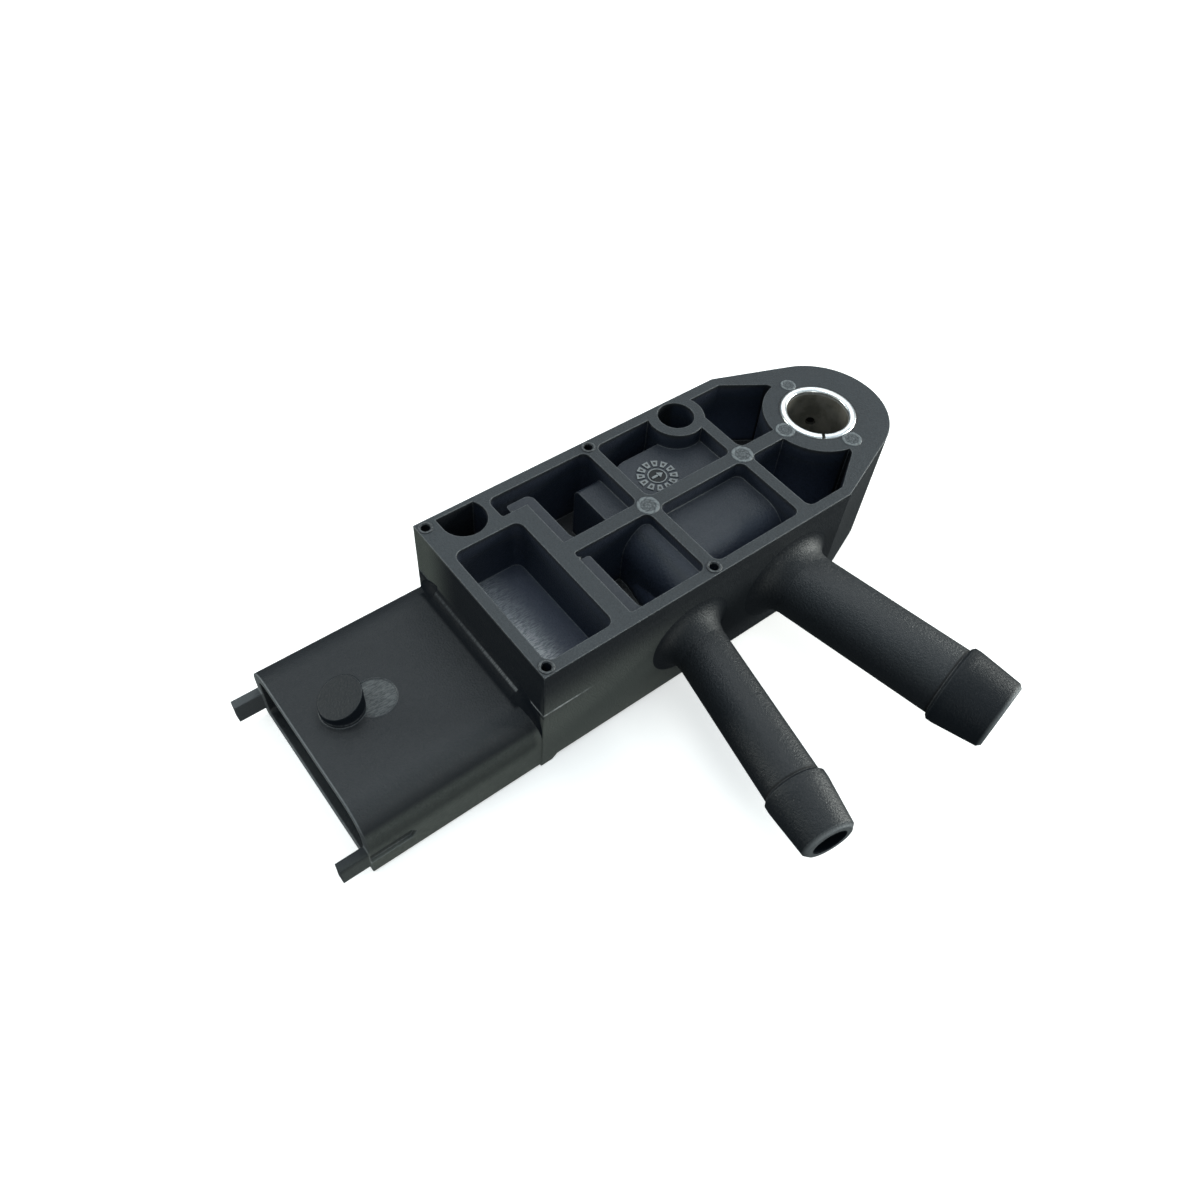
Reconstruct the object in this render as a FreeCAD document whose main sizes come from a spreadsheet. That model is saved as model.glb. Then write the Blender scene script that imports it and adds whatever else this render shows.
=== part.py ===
import FreeCAD, Part
import math
import os
import re
import Sketcher
from FreeCAD import Rotation, Vector

# Differential pressure sensor for an exhaust particle filter, in millimetres.
# Origin: axis of the fixing bush on the flat underside. +X points to the rounded nose,
# +Y away from the two hose nipples, +Z up through the ribbed face.

SIZES = {
    # ribbed body; an inset is a distance from one of the long outer walls
    "bodyHeight": 14.2, "bodyWidth": 20.4, "bodyEnd": 42.5, "shoulderX": 5.8, "noseRadius": 7.5,
    "wall": 1.15, "ribWidth": 1.25, "crossRibA": 23.0, "ribSpacing": 12.0, "centreRib": 1.5,
    "deepPocket": 8.0, "platformDepth": 1.85, "ledgeDepth": 0.4, "cornerRound": 0.8,
    "endWall": 1.1, "endPocketLength": 7.2, "endPocketInset": 4.9, "endPocketDepth": 6.0,
    "endPocketRound": 0.9, "stepRound": 0.3, "blockGap": 8.2, "blockInset": 2.5, "ledgeWidth": 1.2,
    "notchGap": 12.2, "notchWidth": 1.2, "notchInset": 3.7, "cornerX": 1.2, "cornerInset": 4.1,
    "locatorGap": 4.3, "locatorInset": 1.8, "locatorRadius": 2.25, "locatorFlat": 1.3,
    "locatorDepth": 9.0, "pilotGap": 1.7, "pilotInset": 2.2, "pilotRadius": 1.9, "pilotWall": 1.1,
    "pilotDepth": 9.0, "pinGap": 0.8, "pinInset": 0.85, "pinRadius": 0.45, "pinDepth": 1.6,
    "platformInset": 3.0, "platformNearInset": 2.2, "platformRoll": 3.2, "platformTurn": 2.4,
    "shelfLength": 2.8, "shelfInset": 0.3, "shelfRoll": 0.8,
    "humpRadius": 3.4, "humpTop": 13.0, "humpShift": 2.3,
    # fixing bush
    "ringRadius": 5.8, "bushOuter": 4.0, "bushInner": 3.25, "bushStand": 0.15, "bushSlit": 0.35,
    "slitAngle": 233.0, "bushEase": 0.25, "dimpleRadius": 0.55, "dimpleZ": 10.1,
    "dimpleAngle": 43.0, "dimpleDepth": 0.45,
    # hose nipples; the shift is the nipple's place from the middle rib
    "nippleZ": 6.6, "boreClear": 1.0, "dropStep": 0.3, "flareRadius": 1.0, "flareHeight": 1.2, "flareLip": 0.1,
    "rootDepth": 1.2, "sleeveStart": 0.8, "barbLand": 0.9, "barbRise": 0.25, "tipEase": 0.35,
    "smallShift": 2.2, "smallSplay": -11.3, "smallLength": 23.3, "smallRadius": 2.7,
    "smallBarb": 3.0, "smallTip": 2.55, "smallBarbLength": 5.6, "smallBore": 1.6,
    "smallPassage": 1.1, "smallInner": 8.6,
    "largeShift": -10.5, "largeSplay": 10.6, "largeLength": 24.1, "largeRadius": 3.55,
    "largeBarb": 4.0, "largeTip": 3.5, "largeBarbLength": 5.5, "largeBore": 2.5,
    "largePassage": 1.4, "largeInner": 6.4,
    # connector shroud
    "shroudLength": 17.7, "shroudTop": 7.8, "shroudBottom": 0.8, "shroudInset": 0.1,
    "shroudWall": 1.0, "shroudRound": 3.4, "shroudFoot": 0.6, "socketDepth": 15.8, "stepLength": 1.3,
    "cove": 1.2, "prongLength": 2.7, "prongThick": 0.9, "prongTop": 3.3, "prongHeight": 2.3,
    "grooveLength": 4.0, "grooveHeight": 1.4, "grooveZ": 2.1, "grooveDepth": 0.35,
    "lugX": 4.3, "lugY": 0.8, "lugRadius": 2.0, "lugLow": 1.0, "lugHigh": 2.6, "markX": 7.1,
    "markY": 0.2, "markRadius": 2.0, "markDepth": 0.1,
    # sensor chamber in the underside
    "chamberLeft": 33.5, "chamberRight": 12.4, "chamberInset": 2.8, "chamberRoof": 3.9,
    "chamberCorner": 1.0, "lidLedge": 1.4, "lidSeat": 1.5, "lidGap": 0.2, "lidThick": 1.2,
    "beadThick": 0.2, "beadWidth": 1.0,
    # terminals
    "terminalPitch": 4.4, "terminalWidth": 1.5, "terminalThick": 0.6, "terminalSetback": 5.7,
    "terminalTaper": 1.0, "terminalReach": 2.5,
    # circuit and pressure cell; the cell sits over the small nipple's passage
    "carrierGapLeft": 3.7, "carrierGapRight": 3.6, "carrierClear": 0.7, "carrierThick": 0.6,
    "glueThick": 0.1, "cellShift": 0.95, "cellReach": 6.25, "portHole": 0.45, "cellSize": 2.0,
    "padSize": 2.4, "pedestalThick": 0.5, "dieThick": 0.4, "dieRecess": 0.3, "dieWindow": 1.1,
    "diaphragm": 0.6, "frameSize": 5.4, "frameWall": 0.7, "frameHeight": 1.3, "gelDrop": 0.2,
    "chipShift": 5.0, "chipInset": 7.0, "chipLength": 3.0, "chipWidth": 2.6, "chipThick": 0.6,
    "capShift": 2.4, "capInset": 8.6, "capPitch": 1.9, "capLength": 1.6, "capWidth": 0.8,
    "capEase": 0.12, "wireReach": 1.1, "wireRadius": 0.15,
}

# Places that follow from the sizes above.
PLACES = {
    "half": "(bodyWidth / 2)", "inside": "(bodyWidth / 2 - wall)", "rim": "(bodyEnd + shroudLength)",
    "crossRibB": "(crossRibA - ribSpacing)", "smallX": "(crossRibA + smallShift)",
    "largeX": "(crossRibA + largeShift)", "locatorX": "(bodyEnd - locatorGap)",
    "locatorY": "(bodyWidth / 2 - locatorInset)", "pilotX": "(crossRibA - ribSpacing + pilotGap)",
    "pilotY": "(bodyWidth / 2 - pilotInset)", "blockX": "(crossRibA + blockGap)",
    "notchX": "(crossRibA + notchGap)", "platformTop": "(bodyHeight - platformDepth)",
    "platformFoot": "(chamberRoof + 1)", "shroudHalf": "(bodyWidth / 2 - shroudInset)",
    "chamberHalf": "(bodyWidth / 2 - chamberInset)", "carrierLeft": "(chamberLeft - carrierGapLeft)",
    "carrierRight": "(chamberRight + carrierGapRight)", "terminalInner": "(chamberLeft - terminalReach)",
    "carrierHalf": "(bodyWidth / 2 - chamberInset - carrierClear)",
    "carrierFace": "(chamberRoof - glueThick - carrierThick)",
    "cellX": "(crossRibA + cellShift)", "cellY": "(bodyWidth / 2 - cellReach)",
    "socketFloor": "(bodyEnd + shroudLength - socketDepth)", "stepEnd": "(bodyEnd - stepLength)",
    "terminalTip": "(bodyEnd + shroudLength - terminalSetback)",
    "ribAleft": "(crossRibA + ribWidth / 2)", "ribAright": "(crossRibA - ribWidth / 2)",
    "ribBleft": "(crossRibA - ribSpacing + ribWidth / 2)",
    "ribBright": "(crossRibA - ribSpacing - ribWidth / 2)",
}

doc = FreeCAD.newDocument("pressure_sensor")
sheet = doc.addObject("Spreadsheet::Sheet", "sizes")
for row, (alias, value) in enumerate(SIZES.items(), start=1):
    sheet.set(f"A{row}", alias)
    sheet.set(f"B{row}", str(value))
    sheet.setAlias(f"B{row}", alias)
doc.recompute()

parts = []


def formula(text):
    """Write out the places, and put the sheet's name in front of every size."""
    text = re.sub(r"[A-Za-z]\w*", lambda word: PLACES.get(word[0], word[0]), str(text))
    return re.sub(r"[A-Za-z]\w*", lambda word: "sizes." + word[0] if word[0] in SIZES else word[0], text)


def bind(item, **properties):
    for name, text in properties.items():
        item.setExpression(name.replace("_", "."), formula(text))
    return item


def place(item, x="0", y="0", z="0"):
    for axis, text in zip("xyz", (x, y, z)):
        item.setExpression(f"Placement.Base.{axis}", formula(text))
    return item


def keep(item, label):
    item.Label = label
    parts.append(item)
    return item


def value(text):
    """Work out an expression of sizes as a plain number."""
    result = sheet.evalExpression(formula(text))
    return float(getattr(result, "Value", result))


# Sketches. They are drawn at their true size, and each point is then held by two distances
# from the sketch's origin.
def sketch_on(body, name, plane, offset="0", x="0", y="0", turn=None):
    sketch = body.newObject("Sketcher::SketchObject", name)
    support = [f for f in body.Origin.OriginFeatures if f.Role == plane][0]
    sketch.AttachmentSupport = [(support, "")]
    sketch.MapMode = "FlatFace"
    for axis, text in zip("xyz", (x, y, offset)):
        sketch.setExpression(f"AttachmentOffset.Base.{axis}", formula(text))
    if turn is not None:
        sketch.setExpression("AttachmentOffset.Rotation.Angle", formula(turn))
    return sketch


def hold(sketch, index, end, x, y):
    for kind, text in (("DistanceX", x), ("DistanceY", y)):
        number = sketch.addConstraint(Sketcher.Constraint(kind, -1, 1, index, end, value(text)))
        sketch.setExpression(f"Constraints[{number}]", formula(text))


def hold_radius(sketch, index, radius):
    number = sketch.addConstraint(Sketcher.Constraint("Radius", index, value(radius)))
    sketch.setExpression(f"Constraints[{number}]", formula(radius))


def outline(sketch, points, radius=None):
    """A closed outline. A corner may give its own radius as a third value, or None to stay sharp."""
    corners = [tuple(point) + (radius,) if len(point) == 2 else tuple(point) for point in points]
    places = [Vector(value(x), value(y), 0) for x, y, _ in corners]
    count = len(corners)
    first = sketch.GeometryCount
    starts, ends, arcs = [], [], []
    for index, (x, y, size) in enumerate(corners):
        here, before, after = places[index], places[index - 1], places[(index + 1) % count]
        back, ahead = (before - here).normalize(), (after - here).normalize()
        if size is None:
            starts.append(here)
            ends.append(here)
            arcs.append(None)
            continue
        half = back.getAngle(ahead) / 2
        reach = value(size) / math.tan(half)
        centre = here + (back + ahead).normalize() * (value(size) / math.sin(half))
        ends.append(here + back * reach)
        starts.append(here + ahead * reach)
        left = back.cross(ahead).z < 0
        low, high = (ends[-1], starts[-1]) if left else (starts[-1], ends[-1])
        angles = [math.atan2(spot.y - centre.y, spot.x - centre.x) for spot in (low, high)]
        if angles[1] < angles[0]:
            angles[1] += 2 * math.pi
        circle = Part.Circle(centre, Vector(0, 0, 1), value(size))
        arcs.append((Part.ArcOfCircle(circle, *angles), left))
    for index in range(count):
        sketch.addGeometry(Part.LineSegment(starts[index], ends[(index + 1) % count]))
    for index, (x, y, size) in enumerate(corners):
        line, previous = first + index, first + (index - 1) % count
        if arcs[index] is None:
            sketch.addConstraint(Sketcher.Constraint("Coincident", previous, 2, line, 1))
            hold(sketch, line, 1, x, y)
            continue
        arc, left = sketch.addGeometry(arcs[index][0]), arcs[index][1]
        spot = sketch.addGeometry(Part.Point(places[index]), True)
        sketch.addConstraint(Sketcher.Constraint("Tangent", previous, 2, arc, 1 if left else 2))
        sketch.addConstraint(Sketcher.Constraint("Tangent", arc, 2 if left else 1, line, 1))
        sketch.addConstraint(Sketcher.Constraint("PointOnObject", spot, 1, previous))
        sketch.addConstraint(Sketcher.Constraint("PointOnObject", spot, 1, line))
        hold(sketch, spot, 1, x, y)
        hold_radius(sketch, arc, size)


def circles(sketch, items):
    for index, (x, y, radius) in enumerate(items):
        sketch.addGeometry(Part.Circle(Vector(value(x), value(y), 0), Vector(0, 0, 1), value(radius)))
        hold(sketch, index, 3, x, y)
        hold_radius(sketch, index, radius)


def segment(sketch, x, y, radius, chord):
    """The part of a disc that lies below a level line."""
    circle = Part.Circle(Vector(value(x), value(y), 0), Vector(0, 0, 1), value(radius))
    lift = math.asin(value(f"({chord} - {y}) / ({radius})"))
    arc = Part.ArcOfCircle(circle, math.pi - lift, 2 * math.pi + lift)
    sketch.addGeometry(arc)
    sketch.addGeometry(Part.LineSegment(arc.EndPoint, arc.StartPoint))
    sketch.addConstraint(Sketcher.Constraint("Coincident", 0, 2, 1, 1))
    sketch.addConstraint(Sketcher.Constraint("Coincident", 1, 2, 0, 1))
    sketch.addConstraint(Sketcher.Constraint("Horizontal", 1))
    hold(sketch, 0, 3, x, y)
    hold_radius(sketch, 0, radius)
    number = sketch.addConstraint(Sketcher.Constraint("DistanceY", -1, 1, 1, 1, value(chord)))
    sketch.setExpression(f"Constraints[{number}]", formula(chord))


# Features. A cut or a pad that changes nothing stops the build.
def feature(body, kind, sketch, name, reverse=False, middle=False, **lengths):
    before = body.Shape.Volume if body.Tip else 0.0
    item = body.newObject("PartDesign::" + kind, name)
    item.Profile = sketch
    item.Reversed = reverse
    if middle:
        item.Midplane = True
    bind(item, **lengths)
    body.Tip = item
    doc.recompute()
    change = body.Shape.Volume - before
    if (change <= 0) if kind in ("Pad", "Revolution") else (change >= 0):
        raise RuntimeError(f"{name} changes nothing")
    return item


def spin(body, kind, sketch, name):
    before = body.Shape.Volume if body.Tip else 0.0
    item = body.newObject("PartDesign::" + kind, name)
    item.Profile = sketch
    item.ReferenceAxis = (sketch, ["V_Axis"])
    item.Angle = 360.0
    body.Tip = item
    doc.recompute()
    change = body.Shape.Volume - before
    if (change <= 0) if kind == "Revolution" else (change >= 0):
        raise RuntimeError(f"{name} changes nothing")
    return item


def ease(body, name, edges, radius):
    """Round the named edges."""
    base, before = body.Tip, body.Shape.Volume
    item = body.newObject("PartDesign::Fillet", name)
    item.Base = (base, edges)
    bind(item, Radius=radius)
    body.Tip = item
    doc.recompute()
    if "Invalid" in item.State or body.Shape.Volume == before:
        raise RuntimeError(f"{name} rounds nothing")
    return item


def level_pad(body, name, points, low, high, radius=None):
    """Material between two levels, given by its plan."""
    sketch = sketch_on(body, name + "_sketch", "XY_Plane", low)
    outline(sketch, points, radius)
    return feature(body, "Pad", sketch, name, Length=f"{high} - {low}")


def top_pocket(body, name, points, depth, radius="cornerRound"):
    sketch = sketch_on(body, name + "_sketch", "XY_Plane", "bodyHeight")
    outline(sketch, points, radius)
    return feature(body, "Pocket", sketch, name, Length=depth)


def rectangle(left, right, low, high):
    return [(left, low), (right, low), (right, high), (left, high)]


def body_outline(body):
    """Plan of the body: square end, straight flanks, and a round nose about the bush."""
    sketch = sketch_on(body, "nose_sketch", "XY_Plane")
    circles(sketch, [("0", "0", "noseRadius")])
    feature(body, "Pad", sketch, "nose", Length="bodyHeight")
    touch = ("(180 deg - atan(bodyWidth / 2 / shoulderX)"
             " - acos(noseRadius / hypot(shoulderX; bodyWidth / 2)))")
    x, y = f"noseRadius * cos{touch}", f"noseRadius * sin{touch}"
    points = [("-bodyEnd", "-half"), ("-shoulderX", "-half"), (x, "-" + y), (x, y),
              ("-shoulderX", "half"), ("-bodyEnd", "half")]
    level_pad(body, "flanks", points, "0", "bodyHeight")


def end_and_block_pockets(body):
    """Pockets between the connector and the first cross rib, with the ledges round the block."""
    rib, small = "centreRib / 2", "stepRound"
    left, right = "-bodyEnd + endWall", "-bodyEnd + endWall + endPocketLength"
    top_pocket(body, "end_pocket", rectangle(left, right, "-inside", "half - endPocketInset"),
               "endPocketDepth", "endPocketRound")
    blockSide, notchSide = "-notchX + notchWidth", "half - notchInset"
    farBlock = [("-notchX", "inside"), ("-ribAleft", "inside"), ("-ribAleft", rib), ("-blockX", rib),
                ("-blockX", "half - blockInset"), (blockSide, "half - blockInset", small),
                (blockSide, notchSide, small), ("-notchX", notchSide, small)]
    top_pocket(body, "far_block_pocket", farBlock, "deepPocket")
    ledge = "-blockX - ledgeWidth"
    farLedge = [("-blockX + 1", rib), ("-blockX + 1", "half - blockInset"),
                (blockSide, "half - blockInset"), (blockSide, notchSide), (ledge, notchSide), (ledge, rib)]
    top_pocket(body, "far_ledge", farLedge, "ledgeDepth", None)
    nearBlock = [(ledge, "-" + rib, small), ("-ribAleft", "-" + rib), ("-ribAleft", "-inside"),
                 ("-blockX", "-inside"), ("-blockX", "-centreRib", small), (ledge, "-centreRib", small)]
    top_pocket(body, "near_block_pocket", nearBlock, "deepPocket")
    top_pocket(body, "near_ledge", rectangle(ledge, "-blockX + 1", "-inside", "-centreRib"),
               "ledgeDepth", small)


def hump(body):
    """Arch over the small port's passage, beside the first cross rib."""
    where = dict(offset="centreRib / 2", x="-smallX + humpShift")
    reach = "inside - centreRib / 2"
    sketch = sketch_on(body, "hump_sketch", "XZ_Plane", **where)
    circles(sketch, [("0", "humpTop - humpRadius", "humpRadius")])
    feature(body, "Pad", sketch, "hump", Length=reach)
    sketch = sketch_on(body, "hump_foot_sketch", "XZ_Plane", **where)
    outline(sketch, rectangle("-humpRadius", "humpRadius", "platformFoot", "humpTop - humpRadius"))
    feature(body, "Pad", sketch, "hump_foot", Length=reach)


def middle_and_nose_pockets(body):
    """Pockets between the two cross ribs, and the pair beside the bush."""
    rib = "centreRib / 2"
    for side, name in (("", "far"), ("-", "near")):
        top_pocket(body, name + "_pocket", [("-ribAright", side + rib), ("-ribBleft", side + rib),
                                            ("-ribBleft", side + "inside"), ("-ribAright", side + "inside")],
                   "deepPocket")
        points = [("-ribBright", side + rib), ("-ribBright", side + "inside"),
                  ("-shoulderX", side + "inside"), ("-cornerX", side + "(half - cornerInset)"),
                  ("-cornerX", side + rib, None)]
        top_pocket(body, name + "_nose_pocket", points, "deepPocket")


def platform(body):
    """The chamber's roof, which stands in the pockets: a rolled near edge and a round far corner."""
    top, far = "platformTop", "half - platformInset"
    sketch = sketch_on(body, "platform_sketch", "YZ_Plane", "-crossRibA")
    near = "-half + platformNearInset"
    outline(sketch, [(near, "platformFoot"), (f"{far} - platformTurn", "platformFoot"),
                     (f"{far} - platformTurn", top), (near, top, "platformRoll")])
    feature(body, "Pad", sketch, "platform", Length="ribSpacing")
    plan = [("-ribAright", "0"), ("-crossRibB", "0"), ("-crossRibB", far),
            ("-ribAright", far, "platformTurn")]
    level_pad(body, "platform_corner", plan, "platformFoot", top)
    sketch = sketch_on(body, "shelf_sketch", "YZ_Plane", "-ribAleft - shelfLength")
    edge = f"{far} - shelfInset"
    outline(sketch, [("0", "platformFoot"), (edge, "platformFoot"), (edge, top, "shelfRoll"), ("0", top)])
    feature(body, "Pad", sketch, "shelf", Length="shelfLength + ribWidth")


def bosses_and_holes(body):
    """Ring round the bush, ring round the pilot hole, and the moulding's locating holes."""
    sketch = sketch_on(body, "ring_sketch", "XY_Plane")
    circles(sketch, [("0", "0", "ringRadius")])
    feature(body, "Pad", sketch, "bush_ring", Length="bodyHeight")
    sketch = sketch_on(body, "pilot_ring_sketch", "XY_Plane", "platformFoot")
    segment(sketch, "-pilotX", "pilotY", "pilotRadius + pilotWall", "half - wall / 2")
    feature(body, "Pad", sketch, "pilot_ring", Length="bodyHeight - platformFoot")
    sketch = sketch_on(body, "bush_seat_sketch", "XY_Plane", "bodyHeight")
    circles(sketch, [("0", "0", "bushOuter")])
    feature(body, "Pocket", sketch, "bush_seat", Length="bodyHeight")
    sketch = sketch_on(body, "pilot_sketch", "XY_Plane", "bodyHeight")
    circles(sketch, [("-pilotX", "pilotY", "pilotRadius")])
    feature(body, "Pocket", sketch, "pilot_hole", Length="pilotDepth")
    sketch = sketch_on(body, "locator_sketch", "XY_Plane", "bodyHeight")
    segment(sketch, "-locatorX", "locatorY", "locatorRadius", "locatorY + locatorFlat")
    feature(body, "Pocket", sketch, "locator_hole", Length="locatorDepth")
    corner = rectangle("-locatorX - locatorRadius", "-locatorX", "locatorY", "locatorY + locatorFlat")
    top_pocket(body, "locator_corner", corner, "locatorDepth", None)
    sketch = sketch_on(body, "pin_hole_sketch", "XY_Plane", "bodyHeight")
    ends = ("-bodyEnd + pinGap", "-crossRibA")
    circles(sketch, [(x, side + "(half - pinInset)", "pinRadius") for x in ends for side in ("", "-")])
    feature(body, "Pocket", sketch, "pin_holes", Length="pinDepth")


def nipple_sketch(body, name, kind):
    """A sketch level with the nipple's axis, with its own axis turned along the nipple."""
    return sketch_on(body, f"{name}_{kind}_sketch", "XY_Plane", "nippleZ", x=f"-{name}X", y="-half",
                     turn=name + "Splay")


def inner_sleeve(body, name):
    """The nipple's root inside the body, with the passage that leads from the hose to the chamber."""
    inner, passage = name + "Inner", name + "Passage"
    sketch = nipple_sketch(body, name, "sleeve")
    outline(sketch, rectangle("0", name + "Radius", "sleeveStart", inner))
    spin(body, "Revolution", sketch, name + "_sleeve")
    sketch = nipple_sketch(body, name, "passage")
    outline(sketch, rectangle("0", passage, "-boreClear", f"{inner} - boreClear"))
    spin(body, "Groove", sketch, name + "_passage")


def root_flare(body, name):
    """The flare at the nipple's root, lofted out from the wall and leaning with the nipple."""
    radius = name + "Radius"
    rings = (("0", f"{radius} + flareRadius"), ("flareHeight * 0.25", f"{radius} + flareRadius * 0.45"),
             ("flareHeight * 0.6", f"{radius} + flareRadius * 0.15"), ("flareHeight", f"{radius} + flareLip"))
    sketches = []
    for index, (height, size) in enumerate(rings):
        lean = f"-{name}X + {height} * tan({name}Splay)"
        sketch = sketch_on(body, f"{name}_flare_{index}", "XZ_Plane", f"half + {height}", x=lean,
                           y="nippleZ")
        circles(sketch, [("0", "0", size)])
        sketches.append(sketch)
    before = body.Shape.Volume
    flare = body.newObject("PartDesign::AdditiveLoft", name + "_flare")
    flare.Profile, flare.Sections, flare.Ruled = sketches[0], sketches[1:], True
    body.Tip = flare
    doc.recompute()
    if "Invalid" in flare.State or body.Shape.Volume <= before:
        raise RuntimeError(f"{name} flare adds nothing")


def nipple(name):
    """A barbed hose nipple, splayed from the near wall, with a flare at its root."""
    body = doc.addObject("PartDesign::Body", name + "_nipple")
    length, barbStart = f"-{name}Length", f"-({name}Length - {name}BarbLength)"
    radius, barb, tip, passage = name + "Radius", name + "Barb", name + "Tip", name + "Passage"
    sketch = nipple_sketch(body, name, "barb")
    outline(sketch, [("0", "rootDepth"), ("0", length), (tip + " - tipEase", length),
                     (tip, length + " + tipEase"), (barb, barbStart + " - barbLand"),
                     (barb, barbStart + " - barbRise"), (barb + " - barbRise", barbStart),
                     (radius, barbStart), (radius, "rootDepth")])
    spin(body, "Revolution", sketch, name + "_barb")
    sketch = sketch_on(body, name + "_trim_sketch", "XY_Plane", "nippleZ", x=f"-{name}X", y="-half")
    outline(sketch, rectangle(f"-{radius} * 2", f"{radius} * 2", "0", "rootDepth * 2"))
    feature(body, "Pocket", sketch, name + "_trim", middle=True, Length=f"{radius} * 4")
    root_flare(body, name)
    sketch = nipple_sketch(body, name, "bore")
    bore = name + "Bore"
    outline(sketch, [("0", "rootDepth"), ("0", length + " - 1"), (bore, length + " - 1"),
                     (bore, "-boreClear"), (passage, "-boreClear"), (passage, "rootDepth")])
    spin(body, "Groove", sketch, name + "_bore")
    keep(body, name + "_nipple")


def shroud_corners(side, low, high, top):
    """A round-cornered section that is as wide as twice the distance from the middle to its side."""
    return [(f"-({side})", low, "shroudFoot"), (side, low, "shroudFoot"), (side, high, top),
            (f"-({side})", high, top)]


def connector(body):
    """The shroud for the plug, with its socket, its guide prongs and the cove at its foot."""
    sketch = sketch_on(body, "shroud_sketch", "YZ_Plane", "-rim")
    outline(sketch, shroud_corners("shroudHalf", "-shroudBottom", "shroudTop", "shroudRound"))
    feature(body, "Pad", sketch, "shroud", Length="shroudLength + wall / 2")
    sketch = sketch_on(body, "step_sketch", "XZ_Plane")
    outline(sketch, [("-bodyEnd", "0.5"), ("-bodyEnd", "-shroudBottom"), ("-stepEnd", "-shroudBottom"),
                     ("-stepEnd + shroudBottom + 0.5", "0.5")])
    feature(body, "Pad", sketch, "step", middle=True, Length="shroudHalf * 2")
    foot_cove(body)
    sketch = sketch_on(body, "socket_sketch", "YZ_Plane", "-rim")
    outline(sketch, shroud_corners("shroudHalf - shroudWall", "-shroudBottom + shroudWall",
                                   "shroudTop - shroudWall", "shroudRound - shroudWall"))
    feature(body, "Pocket", sketch, "socket", reverse=True, Length="socketDepth")
    for name, side in (("far", ""), ("near", "-")):
        sketch = sketch_on(body, name + "_prong_sketch", "YZ_Plane", "-rim - prongLength")
        edges = (side + "(shroudHalf - prongThick)", side + "shroudHalf")
        outline(sketch, rectangle(*edges, "prongTop - prongHeight", "prongTop"))
        feature(body, "Pad", sketch, name + "_prong", Length="prongLength + shroudWall")
        sketch = sketch_on(body, name + "_groove_sketch", "XZ_Plane",
                           ("" if name == "near" else "-") + "(shroudHalf - grooveDepth)")
        low, high, end = "grooveZ - grooveHeight / 2", "grooveZ + grooveHeight / 2", "-rim + grooveLength"
        outline(sketch, [("-rim", low), (end, low), (end + " + 0.5", "grooveZ"), (end, high),
                         ("-rim", high)])
        feature(body, "Pocket", sketch, name + "_groove", reverse=name == "near",
                Length="grooveDepth + 1")


def foot_cove(body):
    """A hollow rounding where the shroud's top meets the body's end wall."""
    sketch = sketch_on(body, "cove_sketch", "XZ_Plane")
    points = [("-bodyEnd", "shroudTop + cove"), ("-bodyEnd", "shroudTop - cove / 4"),
              ("-bodyEnd - cove", "shroudTop - cove / 4"), ("-bodyEnd - cove", "shroudTop")]
    places = [Vector(value(x), value(y), 0) for x, y in points]
    for index, (start, end) in enumerate(zip(places, places[1:])):
        sketch.addGeometry(Part.LineSegment(start, end))
        hold(sketch, index, 1, *points[index])
        if index:
            sketch.addConstraint(Sketcher.Constraint("Coincident", index - 1, 2, index, 1))
    hold(sketch, 2, 2, *points[3])
    circle = Part.Circle(Vector(places[3].x, places[0].y, 0), Vector(0, 0, 1), value("cove"))
    arc = sketch.addGeometry(Part.ArcOfCircle(circle, 1.5 * math.pi, 2 * math.pi))
    sketch.addConstraint(Sketcher.Constraint("Coincident", 2, 2, arc, 1))
    sketch.addConstraint(Sketcher.Constraint("Coincident", arc, 2, 0, 1))
    hold_radius(sketch, arc, "cove")
    feature(body, "Pad", sketch, "foot_cove", middle=True, Length="(shroudHalf - shroudRound) * 2")


def latch(body):
    """A round lug with a ramped top, and the shallow round mark that it partly covers."""
    sketch = sketch_on(body, "mark_sketch", "XY_Plane", "shroudTop")
    circles(sketch, [("-rim + markX", "markY", "markRadius")])
    feature(body, "Pocket", sketch, "mark", Length="markDepth")
    sketch = sketch_on(body, "lug_sketch", "XY_Plane", "shroudTop - shroudWall / 2")
    circles(sketch, [("-rim + lugX", "lugY", "lugRadius")])
    feature(body, "Pad", sketch, "lug", Length="lugHigh + shroudWall / 2")
    sketch = sketch_on(body, "ramp_sketch", "XZ_Plane")
    left, right = "-rim + lugX - lugRadius", "-rim + lugX + lugRadius"
    outline(sketch, [(left + " - 1", "shroudTop + lugLow"), (left, "shroudTop + lugLow"),
                     (right, "shroudTop + lugHigh"), (right, "shroudTop + lugHigh + 2"),
                     (left + " - 1", "shroudTop + lugHigh + 2")])
    feature(body, "Pocket", sketch, "ramp", middle=True, Length="shroudHalf * 2")


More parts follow.
